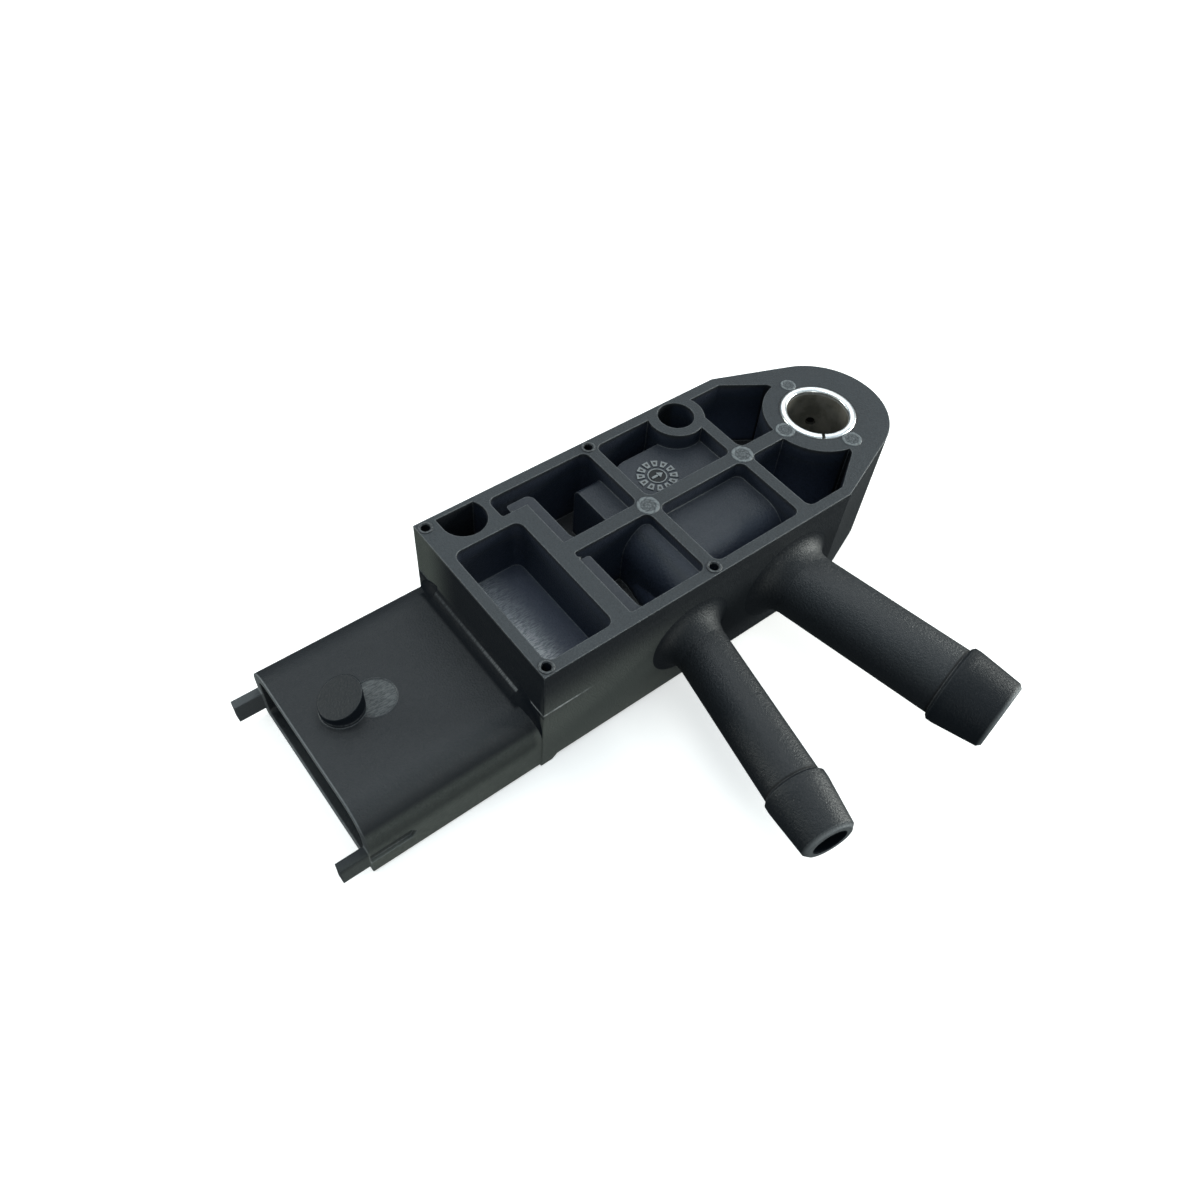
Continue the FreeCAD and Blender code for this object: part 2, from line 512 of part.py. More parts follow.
def chamber(body):
    """Sensor chamber in the underside, its lid seat, and the passages down from the nipples."""
    seat, half = "chamberHalf + lidLedge", "chamberHalf"
    sketch = sketch_on(body, "seat_sketch", "XY_Plane")
    outline(sketch, rectangle("-chamberLeft - lidLedge", "-chamberRight + lidLedge", f"-({seat})", seat),
            "chamberCorner + lidLedge")
    feature(body, "Pocket", sketch, "lid_seat", reverse=True, Length="lidSeat")
    sketch = sketch_on(body, "chamber_sketch", "XY_Plane")
    outline(sketch, rectangle("-chamberLeft", "-chamberRight", "-" + half, half), "chamberCorner")
    feature(body, "Pocket", sketch, "chamber", reverse=True, Length="chamberRoof")
    depth = "(largeInner - boreClear - largePassage)"
    largeEnd = (f"-largeX - {depth} * sin(largeSplay)", f"-half + {depth} * cos(largeSplay)")
    sketch = sketch_on(body, "passage_sketch", "XY_Plane", "chamberRoof")
    circles(sketch, [("-cellX", "-cellY", "smallPassage - dropStep"),
                     (*largeEnd, "largePassage - dropStep")])
    feature(body, "Pocket", sketch, "passages", reverse=True, Length="nippleZ - chamberRoof")
    sketch = sketch_on(body, "terminal_slot_sketch", "YZ_Plane", "-socketFloor - 1")
    for y in ("-terminalPitch", "0", "terminalPitch"):
        outline(sketch, rectangle(f"{y} - terminalWidth / 2", f"{y} + terminalWidth / 2", "carrierFace",
                                  "carrierFace + terminalThick"))
    feature(body, "Pocket", sketch, "terminal_slots", reverse=True,
            Length="socketFloor + 1 - chamberLeft + 0.5")


def housing():
    body = doc.addObject("PartDesign::Body", "housing")
    body_outline(body)
    end_and_block_pockets(body)
    hump(body)
    middle_and_nose_pockets(body)
    platform(body)
    bosses_and_holes(body)
    connector(body)
    latch(body)
    inner_sleeve(body, "small")
    inner_sleeve(body, "large")
    chamber(body)
    return keep(body, "housing")


def mounting_bush():
    """Sleeve rolled from steel strip, with its open joint and a dimple."""
    body = doc.addObject("PartDesign::Body", "mounting_bush")
    sketch = sketch_on(body, "tube_sketch", "XY_Plane")
    circles(sketch, [("0", "0", "bushOuter"), ("0", "0", "bushInner")])
    feature(body, "Pad", sketch, "tube", Length="bodyHeight + bushStand")
    rims = [f"Edge{n}" for n, edge in enumerate(body.Shape.Edges, start=1)
            if isinstance(edge.Curve, Part.Circle) and edge.BoundBox.ZMin > 0]
    ease(body, "rim_ease", rims, "bushEase")
    sketch = sketch_on(body, "slit_sketch", "XY_Plane", "bodyHeight + bushStand", turn="slitAngle")
    outline(sketch, rectangle("bushInner - 0.5", "bushOuter + 0.5", "-bushSlit / 2", "bushSlit / 2"))
    feature(body, "Pocket", sketch, "slit", Length="bodyHeight + bushStand")
    sketch = sketch_on(body, "dimple_sketch", "XY_Plane", "dimpleZ", turn="dimpleAngle - 90")
    outline(sketch, rectangle("0", "dimpleRadius", "bushInner - 1", "bushInner + dimpleDepth"))
    spin(body, "Groove", sketch, "dimple")
    return keep(body, "mounting_bush")


def plate(name, left, right, half, low, thick, corner, window=None):
    """A flat piece with round corners, and with a window where one is given."""
    body = doc.addObject("PartDesign::Body", name)
    sketch = sketch_on(body, name + "_sketch", "XY_Plane", low)
    outline(sketch, rectangle(left, right, f"-({half})", half), corner)
    feature(body, "Pad", sketch, name + "_pad", Length=thick)
    if window:
        sketch = sketch_on(body, name + "_window_sketch", "XY_Plane", f"{low} + {thick}")
        outline(sketch, rectangle(*window[:4]), window[4])
        feature(body, "Pocket", sketch, name + "_window", Length=thick)
    return keep(body, name)


def lid_and_bead():
    edge = "(lidLedge - lidGap)"
    plate("cover_lid", f"-chamberLeft - {edge}", f"-chamberRight + {edge}", f"chamberHalf + {edge}",
          "lidSeat - beadThick - lidThick", "lidThick", f"chamberCorner + {edge}")
    inner = "(lidLedge - lidGap - beadWidth)"
    window = (f"-chamberLeft - {inner}", f"-chamberRight + {inner}", f"-(chamberHalf + {inner})",
              f"chamberHalf + {inner}", f"chamberCorner + {inner}")
    plate("lid_adhesive", f"-chamberLeft - {edge}", f"-chamberRight + {edge}", f"chamberHalf + {edge}",
          "lidSeat - beadThick", "beadThick", f"chamberCorner + {edge}", window)


def terminals():
    """Three flat blades that run from the socket into the chamber."""
    for name, y in (("supply", "terminalPitch"), ("signal", "0"), ("ground", "-terminalPitch")):
        body = doc.addObject("PartDesign::Body", "terminal_" + name)
        sketch = sketch_on(body, name + "_blade_sketch", "XY_Plane", "carrierFace")
        wide, narrow = "terminalWidth / 2", "terminalWidth / 5"
        outline(sketch, [("-terminalInner", f"{y} - {wide}"), ("-terminalInner", f"{y} + {wide}"),
                         ("-terminalTip + terminalTaper", f"{y} + {wide}"),
                         ("-terminalTip", f"{y} + {narrow}"), ("-terminalTip", f"{y} - {narrow}"),
                         ("-terminalTip + terminalTaper", f"{y} - {wide}")])
        feature(body, "Pad", sketch, name + "_blade", Length="terminalThick")
        keep(body, "terminal_" + name)


def box(label, x, y, z, length, width, height):
    """A rectangular block given by its middle in plan and its lowest level."""
    item = doc.addObject("Part::Box", label)
    bind(item, Length=length, Width=width, Height=height)
    return place(item, f"{x} - ({length}) / 2", f"{y} - ({width}) / 2", z)


def rod(label, x, y, z, radius, height):
    item = doc.addObject("Part::Cylinder", label)
    bind(item, Radius=radius, Height=height)
    return place(item, x, y, z)


def cut(label, base, tool):
    item = doc.addObject("Part::Cut", label)
    item.Base, item.Tool = base, tool
    return item


def circuit():
    """Ceramic carrier under the chamber roof, with its glue, its chip and its capacitors."""
    middle, length = "-(carrierLeft + carrierRight) / 2", "carrierLeft - carrierRight"
    for label, low, thick, hole in (("circuit_carrier", "carrierFace", "carrierThick", "portHole"),
                                    ("carrier_adhesive", "chamberRoof - glueThick", "glueThick",
                                     "smallPassage")):
        slab = box(label + "_slab", middle, "0", low, length, "carrierHalf * 2", thick)
        port = rod(label + "_port", "-cellX", "-cellY", f"{low} - 1", hole, "3")
        keep(cut(label, slab, port), label)
    keep(box("signal_chip", "-carrierRight - chipShift", "half - chipInset", "carrierFace - chipThick",
             "chipLength", "chipWidth", "chipThick"), "signal_chip")
    for index, name in enumerate(("supply", "signal", "filter")):
        block = box(name + "_block", "-carrierLeft + capShift", f"half - capInset + {index} * capPitch",
                    "carrierFace - capWidth", "capLength", "capWidth", "capWidth")
        doc.recompute()
        soft = doc.addObject("Part::Fillet", "capacitor_" + name)
        soft.Base = block
        soft.Edges = [(n, SIZES["capEase"], SIZES["capEase"]) for n in range(1, 13)]
        keep(soft, "capacitor_" + name)


def pressure_cell():
    """Silicon die on its glass foot inside a frame that is filled with soft gel."""
    centre, dieTop = ("-cellX", "-cellY"), "carrierFace - glueThick - pedestalThick"
    levels = (("cell_adhesive", "padSize", "carrierFace - glueThick", "glueThick"),
              ("glass_pedestal", "cellSize", dieTop, "pedestalThick"))
    for label, size, low, thick in levels:
        block = box(label + "_block", *centre, low, size, size, thick)
        port = rod(label + "_port", *centre, f"{low} - 1", "portHole", "3")
        keep(cut(label, block, port), label)
    block = box("die_block", *centre, f"{dieTop} - dieThick", "cellSize", "cellSize", "dieThick")
    pit = doc.addObject("Part::Wedge", "die_pit")
    rim, flat = "(cellSize - dieWindow) / 2", "(cellSize - diaphragm) / 2"
    bind(pit, Xmin=rim, Xmax=f"cellSize - {rim}", Zmin=rim, Zmax=f"cellSize - {rim}",
         X2min=flat, X2max=f"cellSize - {flat}", Z2min=flat, Z2max=f"cellSize - {flat}",
         Ymin="0", Ymax="dieRecess")
    pit.Placement.Rotation = Rotation(Vector(1, 0, 0), -90)
    place(pit, "-cellX - cellSize / 2", "-cellY - cellSize / 2", dieTop)
    keep(cut("sensor_die", block, pit), "sensor_die")
    frameLow = "carrierFace - frameHeight"
    outer = box("frame_outer", *centre, frameLow, "frameSize", "frameSize", "frameHeight")
    opening = "frameSize - frameWall * 2"
    inner = box("frame_inner", *centre, f"{frameLow} - 1", opening, opening, "frameHeight + 2")
    keep(cut("gel_frame", outer, inner), "gel_frame")
    fill = box("gel_fill", *centre, f"{frameLow} + gelDrop", opening, opening, "frameHeight - gelDrop")
    stack = doc.addObject("Part::MultiFuse", "cell_stack")
    stack.Shapes = [doc.getObject(name + "_block") for name in ("cell_adhesive", "glass_pedestal", "die")]
    keep(cut("protective_gel", fill, stack), "protective_gel")


def bond_wires():
    """Heavy wire loops from each blade to the carrier, hanging below both."""
    for name, y in (("supply", "terminalPitch"), ("signal", "0"), ("ground", "-terminalPitch")):
        loop = doc.addObject("Part::Torus", "bond_wire_" + name)
        bind(loop, Radius1="wireReach", Radius2="wireRadius")
        loop.Angle3 = 180.0
        loop.Placement.Rotation = Rotation(Vector(1, 0, 0), -90)
        place(loop, "-(terminalInner + carrierLeft) / 2", y, "carrierFace")
        keep(loop, "bond_wire_" + name)


def write_parts():
    doc.recompute()
    for item in doc.Objects:
        bad = [word for word in item.State if word in ("Invalid", "Error")]
        if bad:
            raise RuntimeError(f"{item.Name} is {bad}")
    os.makedirs("parts", exist_ok=True)
    for item in parts:
        shape = item.Shape
        if shape.isNull() or not shape.isValid():
            raise RuntimeError(f"{item.Label} has no sound shape")
        shape.exportStep(f"parts/{item.Label}.step")
        print(f"{item.Label}: {len(shape.Solids)} solid, {shape.Volume:.2f} mm3")


housing()
nipple("small")
nipple("large")
mounting_bush()
lid_and_bead()
terminals()
circuit()
pressure_cell()
bond_wires()
write_parts()
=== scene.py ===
import math

import bmesh
import bpy
from mathutils import Matrix, Vector


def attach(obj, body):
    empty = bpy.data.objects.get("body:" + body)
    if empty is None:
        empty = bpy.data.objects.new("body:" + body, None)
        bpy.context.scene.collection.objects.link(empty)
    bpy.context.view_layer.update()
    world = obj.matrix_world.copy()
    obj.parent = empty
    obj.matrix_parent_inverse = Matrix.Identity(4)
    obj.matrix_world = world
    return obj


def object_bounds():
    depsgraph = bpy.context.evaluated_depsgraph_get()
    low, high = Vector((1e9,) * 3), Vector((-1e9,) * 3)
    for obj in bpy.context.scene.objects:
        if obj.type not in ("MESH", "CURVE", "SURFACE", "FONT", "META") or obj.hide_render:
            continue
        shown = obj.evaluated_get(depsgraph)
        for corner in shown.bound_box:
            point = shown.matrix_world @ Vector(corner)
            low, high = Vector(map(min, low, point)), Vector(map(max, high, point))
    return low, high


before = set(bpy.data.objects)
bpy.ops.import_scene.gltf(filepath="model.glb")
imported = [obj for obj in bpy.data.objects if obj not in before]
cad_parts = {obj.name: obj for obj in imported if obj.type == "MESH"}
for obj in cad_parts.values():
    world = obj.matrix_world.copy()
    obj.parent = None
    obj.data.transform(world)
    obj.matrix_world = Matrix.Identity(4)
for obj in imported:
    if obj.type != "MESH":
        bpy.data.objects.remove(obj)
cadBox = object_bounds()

# Differential pressure sensor: matte black moulded body, steel bush, two barbed hose nipples.
# Metres throughout. Origin on the bush axis at the underside, +X to the nose, +Z up.

millimetre = 0.001


def point(x, y, z):
    return Vector((x, y, z)) * millimetre


# Shader maths: one socket with operators, so that a material reads as a formula.
class Field:
    def __init__(self, tree, socket):
        self.tree, self.socket = tree, socket

    def node(self, kind, inputs=(), output=0, **settings):
        # Inputs are pairs of a socket's name or number and a value or a field.
        item = self.tree.nodes.new(kind)
        for name, value in settings.items():
            setattr(item, name, value)
        for key, value in inputs:
            if isinstance(value, Field):
                self.tree.links.new(value.socket, item.inputs[key])
            else:
                item.inputs[key].default_value = value
        return Field(self.tree, item.outputs[output])

    def math(self, operation, *others):
        inputs = list(enumerate((self, *others)))
        return self.node("ShaderNodeMath", inputs, operation=operation)

    def __add__(self, other): return self.math("ADD", other)
    def __radd__(self, other): return self.math("ADD", other)
    def __sub__(self, other): return self.math("SUBTRACT", other)
    def __mul__(self, other): return self.math("MULTIPLY", other)
    def __rmul__(self, other): return self.math("MULTIPLY", other)
    def __truediv__(self, other): return self.math("DIVIDE", other)
    def __pow__(self, other): return self.math("POWER", other)
    def __rsub__(self, other): return (self * -1.0) + other

    def clip(self):
        return self.node("ShaderNodeClamp", [("Value", self)])

    def ramp(self, low, high):
        # 0 below low, 1 above high, smooth between.
        inputs = [("Value", self), ("From Min", low), ("From Max", high)]
        return self.node("ShaderNodeMapRange", inputs, interpolation_type="SMOOTHSTEP")

    def mix(self, first, second):
        # Blend two colours, with this field as the factor.
        inputs = [(0, self)]
        for key, value in ((6, first), (7, second)):
            inputs.append((key, value if isinstance(value, Field) else (*value, 1.0)))
        return self.node("ShaderNodeMix", inputs, output=2, data_type="RGBA")

    def vector(self, operation, *others, output=0):
        inputs = list(enumerate((self, *others)))
        return self.node("ShaderNodeVectorMath", inputs, output=output, operation=operation)

    def noise(self, scale, detail=2.0, roughness=0.5):
        inputs = [("Vector", self), ("Scale", scale), ("Detail", detail), ("Roughness", roughness)]
        return self.node("ShaderNodeTexNoise", inputs)

    def axes(self):
        split = self.tree.nodes.new("ShaderNodeSeparateXYZ")
        self.tree.links.new(self.socket, split.inputs[0])
        return [Field(self.tree, out) for out in split.outputs]


# Camera, light and floor.
cameraView = {
    "place": (-69.868, -45.915, 82.877),
    "right": (0.787526, -0.613266, 0.060894),
    "down": (-0.456067, -0.646397, -0.611698),
    "forward": (0.414495, 0.453956, -0.788744),
    "lens": 29.968,
}


def addCamera():
    data = bpy.data.cameras.new("camera")
    data.sensor_width = 36.0
    data.lens = cameraView["lens"]
    data.clip_start, data.clip_end = 0.005, 10.0
    camera = bpy.data.objects.new("camera", data)
    right, down, forward = (Vector(cameraView[name]).normalized() for name in ("right", "down", "forward"))
    turn = Matrix((right, -down, -forward)).transposed()
    camera.matrix_world = Matrix.Translation(point(*cameraView["place"])) @ turn.to_4x4()
    bpy.context.collection.objects.link(camera)
    bpy.context.scene.camera = camera


lightRig = {
    "lamps": [
        # name, place in mm, size in mm, power in watts, colour
        ("key_light", (120.0, 160.0, 240.0), 200.0, 0.18, (1.0, 1.0, 0.98)),
        ("top_light", (-30.0, 30.0, 260.0), 110.0, 0.15, (0.97, 1.0, 1.0)),
        ("nose_light", (260.0, -110.0, 70.0), 160.0, 1.35, (0.96, 1.0, 0.95)),
        ("end_light", (-230.0, 190.0, 60.0), 120.0, 0.40, (0.96, 1.0, 0.94)),
        ("low_light", (-120.0, -260.0, 12.0), 90.0, 0.30, (0.96, 1.0, 0.95)),
    ],
    "aim": (-25.0, -6.0, 8.0),
    "skyLow": 0.06,
    "skyHorizon": 0.23,
    "skyTop": 0.55,
    "skyColour": (0.77, 0.92, 1.0),
}


def addLights():
    aim = point(*lightRig["aim"])
    for name, place, size, power, colour in lightRig["lamps"]:
        data = bpy.data.lights.new(name, "AREA")
        data.size = size * millimetre
        data.energy = power
        data.color = colour
        lamp = bpy.data.objects.new(name, data)
        lamp.location = point(*place)
        lamp.rotation_euler = (aim - lamp.location).to_track_quat("-Z", "Y").to_euler()
        bpy.context.collection.objects.link(lamp)
    # A soft sky, bright overhead and dim below the horizon.
    world = bpy.data.worlds.new("studio")
    world.use_nodes = True
    tree = world.node_tree
    coordinates = tree.nodes.new("ShaderNodeTexCoord")
    height = Field(tree, coordinates.outputs["Generated"]).axes()[2]
    sky = (height.ramp(-0.1, 0.25) * lightRig["skyHorizon"] + height.ramp(0.2, 1.0) * lightRig["skyTop"]
           + lightRig["skyLow"])
    background = tree.nodes["Background"]
    # The camera sees a plain white backdrop, while the part is lit by the sky.
    seen = height.node("ShaderNodeLightPath", output="Is Camera Ray")
    tree.links.new(seen.mix(lightRig["skyColour"], (1.0, 1.0, 1.0)).socket, background.inputs["Color"])
    tree.links.new((seen * (0.96 - sky) + sky).socket, background.inputs["Strength"])
    bpy.context.scene.world = world
    bpy.context.scene.view_settings.view_transform = "Standard"


# Materials are made by a function of the place in millimetres, which gives the changing sockets.
def makeMaterial(name, build, **constants):
    # Constants go on the shader's own sockets; build links the changing values.
    material = bpy.data.materials.new(name)
    material.use_nodes = True
    tree = material.node_tree
    shader = tree.nodes["Principled BSDF"]
    for key, value in constants.items():
        shader.inputs[key.replace("_", " ")].default_value = value
    coordinates = tree.nodes.new("ShaderNodeTexCoord")
    place = Field(tree, coordinates.outputs["Object"]).vector("SCALE", output=0)
    place.socket.node.inputs["Scale"].default_value = 1.0 / millimetre
    values = build(place)
    paintedShade = values.pop("Matte", None)
    for key, field in values.items():
        tree.links.new(field.socket, shader.inputs[key])
    if paintedShade:
        # Painted shade: a dead black that reflects nothing, mixed in where the painted shade mask says so.
        shadeBlack = paintedShade.node("ShaderNodeBsdfDiffuse",
                          [("Color", (0.006, 0.008, 0.011, 1.0)), ("Roughness", 1.0)])
        blend = paintedShade.node("ShaderNodeMixShader", [(0, paintedShade)])
        tree.links.new(shader.outputs[0], blend.socket.node.inputs[1])
        tree.links.new(shadeBlack.socket, blend.socket.node.inputs[2])
        tree.links.new(blend.socket, tree.nodes["Material Output"].inputs["Surface"])
    return material


def bump(height, distance, strength=1.0, under=None):
    inputs = [("Height", height), ("Distance", distance * millimetre), ("Strength", strength)]
    if under:
        inputs.append(("Normal", under))
    return height.node("ShaderNodeBump", inputs)


def dress(node, material):
    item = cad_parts[node]
    item.data.materials.clear()
    item.data.materials.append(material)


# Levels and places on the housing, in millimetres.
bodySizes = {
    "top": 14.2, "platform": 12.35, "trough": 8.2, "end": -42.5, "rim": -60.2, "shroudTop": 7.8,
    "cornerCentre": (6.7, 4.4), "cornerRadius": 3.4, "cove": 1.2, "taperStart": 6.4, "taper": 0.352,
    "pocketFloor": 6.5, "pocketTop": 13.8, "pocketEnd": -41.45, "pocketNose": -1.6, "wallMiddle": 9.6,
    "nosePockets": -10.5, "flank": 10.0, "bushGap": (4.02, 4.16),
}

plasticLook = {
    # Besides black and grey, most of these are painted light: lighter tops and floors, a lighter navy in the
    # pockets, edge highlights, streaks and a glare in the end pocket, and a pale glow on the end wall and near
    # flank.
    "black": (0.0030, 0.0042, 0.0060),
    "grey": (0.0105, 0.0132, 0.0165),
    "ribTop": (0.0210, 0.0262, 0.0312),
    "topEnd": (0.0340, 0.0400, 0.0450),
    "floor": (0.0160, 0.0190, 0.0210),
    "edge": (0.1600, 0.1690, 0.1750),
    "pocket": (0.0155, 0.0208, 0.0340),
    "deep": (0.0300, 0.0400, 0.0680),
    "noseDeep": (0.0700, 0.0880, 0.1450),
    "streak": (0.2400, 0.2550, 0.2700),
    "glare": (0.6000, 0.6100, 0.6200),
    "glowAndFilm": (0.0850, 0.0950, 0.0830),
    "lowGlow": (0.1350, 0.1450, 0.1300),
    "markPale": (0.1100, 0.1180, 0.1180),
    "fineScale": 4.6,
    "edgeRadius": 0.21,
    "lugPlace": (-55.9, 0.8),
    "lugRadius": 2.0,
    "markPlace": (-53.1, 0.2),
    "markRadius": 2.0,
}


def paintedEdgeHighlights(place, fine):
    # The softened normal, and a painted highlight mask that is 1 on sharp edges and broken up by the grain.
    soft = place.node("ShaderNodeBevel", [("Radius", plasticLook["edgeRadius"] * millimetre)], samples=6)
    flat = place.node("ShaderNodeNewGeometry", output="True Normal")
    turned = 1.0 - soft.vector("DOT_PRODUCT", flat, output="Value")
    return soft, turned.ramp(0.015, 0.16) * (fine * 1.6 - 0.15).clip()


def distanceTo(x, y, centre):
    across, along = x - centre[0], y - centre[1]
    return (across * across + along * along).math("SQRT")


def mouldedPlastic(place, details=None):
    look = plasticLook
    x, y, z = place.axes()
    fine = place.noise(look["fineScale"], 4.0, 0.65)
    cloud = place.noise(0.3, 3.0)
    soft, edge = paintedEdgeHighlights(place, fine)
    colour = (cloud * 0.5 + fine * 0.5).mix(look["black"], look["grey"])
    rough = 0.32 + fine * 0.38
    sockets = {"Normal": bump(fine, 0.080, 0.9, soft)}
    if details:
        colour, rough = details(x, y, z, place, fine, colour, rough, sockets)
        edge = edge * (1.0 - sockets.pop("Unworn", 0.0))
    # Painted highlight: the edge mask lightens sharp edges towards the pale edge grey.
    return {"Base Color": edge.mix(colour, look["edge"]), "Roughness": rough, **sockets}


def within(value, low, high, soft=0.08):
    # 1 between two levels, fading over a short way on each side.
    return value.ramp(low - soft, low + soft) * (1.0 - value.ramp(high - soft, high + soft))


def housingDetails(x, y, z, place, fine, colour, rough, sockets):
    # Painted light: rib tops and the platform are painted a lighter, grainy grey as if lit from above, and the
    # pockets a lighter navy.
    look, size = plasticLook, bodySizes
    # Across the walls the pockets end half way, also where the body narrows to the nose.
    aside = y.math("ABSOLUTE") + (x + size["taperStart"]).math("MAXIMUM", 0.0) * size["taper"]
    inside = (within(z, size["pocketFloor"], size["pocketTop"], 0.3)
              * (1.0 - aside.ramp(size["wallMiddle"] - 0.15, size["wallMiddle"] + 0.15))
              * within(x, size["pocketEnd"], size["pocketNose"]))
    colour = inside.mix(colour, look["pocket"])
    # Painted light: the pocket floors are lifted to a lighter navy, lightest in the nose pockets, for light
    # their depth keeps out.
    deep = x.ramp(size["nosePockets"] - 0.1, size["nosePockets"] + 0.1).mix(look["deep"], look["noseDeep"])
    colour = (inside * (1.0 - z.ramp(size["pocketFloor"], 12.0)) * 0.7).mix(colour, deep)
    ribTop = z.ramp(size["top"] - 0.12, size["top"] - 0.03)
    gap = within(distanceTo(x, y, (0.0, 0.0)), *size["bushGap"], 0.05)
    colour = (ribTop * (0.4 + fine.ramp(0.38, 0.62) * 0.6)).mix(colour, look["ribTop"])
    # Painted light: the rib tops grow lighter still towards the end.
    colour = (ribTop * (1.0 - x.ramp(-40.0, -24.0)) * fine * 0.9).mix(colour, look["topEnd"])
    colour = (ribTop * gap * 0.9).mix(colour, (0.001, 0.001, 0.001))
    floor = within(z, size["platform"] - 0.1, size["platform"] + 0.1, 0.3)
    colour = (floor * (0.4 + fine * 0.6)).mix(colour, look["floor"])
    # The end pocket's floor is painted lighter in fine streaks, standing in for light falling on it, with a
    # painted glare at its near end, and the round mark by the lug is a paler grey in the same streaks.
    streakNoise = place.vector("MULTIPLY", (1.2, 6.0, 1.0)).noise(1.5, 4.0, 0.7).ramp(0.35, 0.65)
    trough = within(z, size["trough"] - 0.1, size["trough"] + 0.1) * (1.0 - x.ramp(-40.0, -35.5))
    colour = (trough * (0.25 + streakNoise * 0.75)).mix(colour, look["streak"])
    glare = trough * (1.0 - x.ramp(-40.6, -36.2)) * (1.0 - y.ramp(-5.5, 2.5))
    colour = (glare * (0.25 + streakNoise)).clip().mix(colour, look["glare"])
    spot = 1.0 - distanceTo(x, y, look["markPlace"]).ramp(look["markRadius"] - 0.15, look["markRadius"])
    level = within(z, size["shroudTop"] - 0.13, size["shroudTop"] - 0.07, 0.03)
    colour = (spot * level * (0.2 + streakNoise * 0.8)).mix(colour, look["markPale"])
    # Painted highlight: a thin pale line on the rim face at the shroud's end.
    rim = 1.0 - x.ramp(size["rim"] + 0.03, size["rim"] + 0.15)
    colour = (rim * 0.8).mix(colour, look["edge"])
    # Painted light: a pale glow on the end wall's far part and low on the near flank, for light reflected onto
    # them.
    glowAndFilm = within(x, size["end"] - 0.05, size["end"] + 0.05, 0.05) * y.ramp(3.0, 8.5) * z.ramp(7.9, 8.6)
    low = (1.0 - y.ramp(-size["flank"], -size["wallMiddle"])) * (1.0 - x.ramp(-33.0, -20.0))
    low = low * (1.0 - z.ramp(5.0, 13.0))
    colour = (glowAndFilm * (0.3 + fine)).clip().mix(colour, look["glowAndFilm"])
    colour = (low * (0.2 + fine)).clip().mix(colour, look["lowGlow"])
    # The hollow at the end wall's foot and the shroud's near rounding get painted shade.
    hollow = within(x, size["end"] - 1.35, size["end"] + 0.05, 0.2) * within(z, 7.6, 13.9) * (1.0 - glowAndFilm)
    rounding = within(z, 3.2, 6.6, 0.9) * (1.0 - y.ramp(-9.4, -8.6)) * (1.0 - x.ramp(-43.5, -42.6))
    lugSide = (distanceTo(x, y, look["lugPlace"]).ramp(look["lugRadius"] - 0.08, look["lugRadius"] - 0.02)
               * z.ramp(size["shroudTop"] + 0.02, size["shroudTop"] + 0.15)
               * (1.0 - x.ramp(size["end"] - 1.4, size["end"] - 1.3)))
    lug = 1.0 - distanceTo(x, y, look["lugPlace"]).ramp(look["lugRadius"] + 0.05, look["lugRadius"] + 0.2)
    lug = lug * z.ramp(size["shroudTop"] + 0.2, size["shroudTop"] + 0.4)
    prongs = 1.0 - x.ramp(size["rim"] - 0.15, size["rim"] - 0.05)
    # The hair-thin ledge on each flank by the shroud faces up, and painted shade keeps it as dark as the flank.
    flat = place.node("ShaderNodeNewGeometry", output="True Normal").axes()[2]
    ledge = flat.ramp(0.2, 0.5) * aside.ramp(9.7, 9.9) * (1.0 - z.ramp(9.0, 10.0)) * x.ramp(-43.0, -42.4)
    corner = within(x, size["end"] - 1.6, size["end"] + 0.1) * (1.0 - z.ramp(11.0, 12.0))
    nearLedge = (aside.ramp(size["flank"] - 0.1, size["flank"] + 0.1) * within(z, 6.6, 9.0, 0.2)
                 * within(x, -44.0, -35.0, 0.3))
    sockets["Unworn"] = (corner + nearLedge).clip()
    # Painted shade: dead black mixed onto the prongs, the lug, the lug's side, the hollow, the near rounding
    # and the flank ledge.
    sockets["Matte"] = (prongs * 0.45 + lug * 0.25 + hollow * 0.8 + rounding * 0.5 + lugSide * 0.6
                        + ledge * 0.7).clip()
    return colour, rough + ribTop * 0.06


# Details that only keep the painted edge highlight off.
def noEdgeHighlightDetails(x, y, z, place, fine, colour, rough, sockets):
    sockets["Unworn"] = 1.0
    return colour, rough


def shadedPlastic(shade):
    # The plain moulded plastic, with a share of painted shade in dead black.
    def build(place):
        sockets = mouldedPlastic(place, noEdgeHighlightDetails)
        sockets["Matte"] = place.noise(0.8) * 0.2 + shade
        return sockets

    return build


nippleSizes = {
    # root in mm, splay in degrees, radius, length, start of the barb
    "small_nipple": {"root": (-25.2, -10.2, 6.6), "splay": -11.3, "radius": 2.7, "length": 23.3, "barb": 17.7,
                     "bore": 1.6, "shaftShade": 0.12, "barbShade": 0.10},
    "large_nipple": {"root": (-12.5, -10.2, 6.6), "splay": 10.6, "radius": 3.55, "length": 24.1, "barb": 18.6,
                     "bore": 2.5, "shaftShade": 0.0, "barbShade": 0.42},
}


